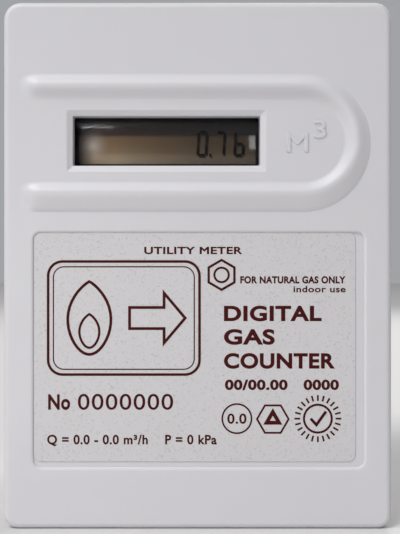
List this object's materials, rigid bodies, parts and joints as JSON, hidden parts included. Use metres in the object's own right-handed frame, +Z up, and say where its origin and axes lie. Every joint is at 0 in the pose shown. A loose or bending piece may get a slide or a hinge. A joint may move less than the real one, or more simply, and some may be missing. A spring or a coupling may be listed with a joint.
{
  "type": "gas meter",
  "caption": "Compact electronic household gas meter in a white upright case, with a digital display in a raised bead, a printed label plate and two side pipe ports.",
  "frame": {"origin": "centre of the flat base that the meter stands on", "axes": "+Z up, the display and label face -Y, +X to the right as seen from the front; gas flows from -X to +X"},
  "size_m": [0.09, 0.0684, 0.11],
  "materials": {
    "case_white": "satin moulded plastic with a very fine spark-eroded grain",
    "label_film": "satin printed film",
    "clear_window": "clear polished acrylic",
    "lcd": "dark reflective liquid-crystal glass",
    "black_plastic": "satin black",
    "rubber": "matt elastomer",
    "circuit_board": "green solder mask",
    "steel": "zinc plated",
    "capacitor_sleeve": "shrink sleeve",
    "connector_ivory": "moulded nylon",
    "battery_wrap": "shrink wrap",
    "nickel": "nickel plated",
    "port_metal": "nickel plated brass",
    "lead_red": "insulation",
    "lead_black": "insulation",
    "lead_grey": "insulation",
    "cast_aluminium": "die cast, lightly blasted",
    "oscillator_resin": "moulded engineering plastic",
    "piezo_brass": "polished",
    "cap_yellow": "soft polyethylene",
    "seal_red": "sealing wax"
  },
  "bodies": {
    "meter": {"amplifier_chip": "black_plastic", "battery": "battery_wrap", "battery_connector": "connector_ivory", "battery_contact_minus": "nickel", "battery_contact_plus": "nickel", "battery_lead_black": "lead_black", "battery_lead_red": "lead_red", "battery_spring": "nickel", "capacitor": "capacitor_sleeve", "cover_gasket": "rubber", "cover_screw_1": "steel", "cover_screw_2": "steel", "cover_screw_3": "steel", "cover_screw_4": "steel", "crystal": "steel", "display_window": "clear_window", "front_cover": "case_white", "gas_body": "cast_aluminium", "gas_body_screw_1": "steel", "gas_body_screw_2": "steel", "gas_body_screw_3": "steel", "gas_body_screw_4": "steel", "inlet_fitting": "port_metal", "inlet_o_ring": "rubber", "inlet_strainer": "nickel", "label_plate": "label_film", "lcd_bezel": "black_plastic", "lcd_glass": "lcd", "main_pcb": "circuit_board", "microcontroller": "black_plastic", "oscillator_block": "oscillator_resin", "oscillator_cover": "cast_aluminium", "oscillator_gasket": "rubber", "oscillator_screw_1": "steel", "oscillator_screw_2": "steel", "oscillator_screw_3": "steel", "oscillator_screw_4": "steel", "outlet_fitting": "port_metal", "outlet_o_ring": "rubber", "pcb_screw_1": "steel", "pcb_screw_2": "steel", "pcb_screw_3": "steel", "pcb_screw_4": "steel", "piezo_disc_lower": "piezo_brass", "piezo_disc_upper": "piezo_brass", "rear_housing": "case_white", "sensor_connector": "connector_ivory", "sensor_cup_lower": "black_plastic", "sensor_cup_upper": "black_plastic", "sensor_lead_lower": "lead_grey", "sensor_lead_upper": "lead_grey", "tamper_seal": "seal_red", "zebra_strip_lower": "rubber", "zebra_strip_upper": "rubber"},
    "battery_lid": {"battery_cover": "case_white", "battery_cover_screw": "steel"},
    "inlet_cap": {"inlet_plug": "cap_yellow"},
    "outlet_cap": {"outlet_plug": "cap_yellow"}
  },
  "joints": [
    {"name": "battery_lid_pull", "type": "slide", "parent": "meter", "child": "battery_lid", "axis": [0, 1, 0], "range_m": [0, 0.03]},
    {"name": "inlet_cap_pull", "type": "slide", "parent": "meter", "child": "inlet_cap", "axis": [-1, 0, 0], "range_m": [0, 0.02]},
    {"name": "outlet_cap_pull", "type": "slide", "parent": "meter", "child": "outlet_cap", "axis": [1, 0, 0], "range_m": [0, 0.02]}
  ]
}
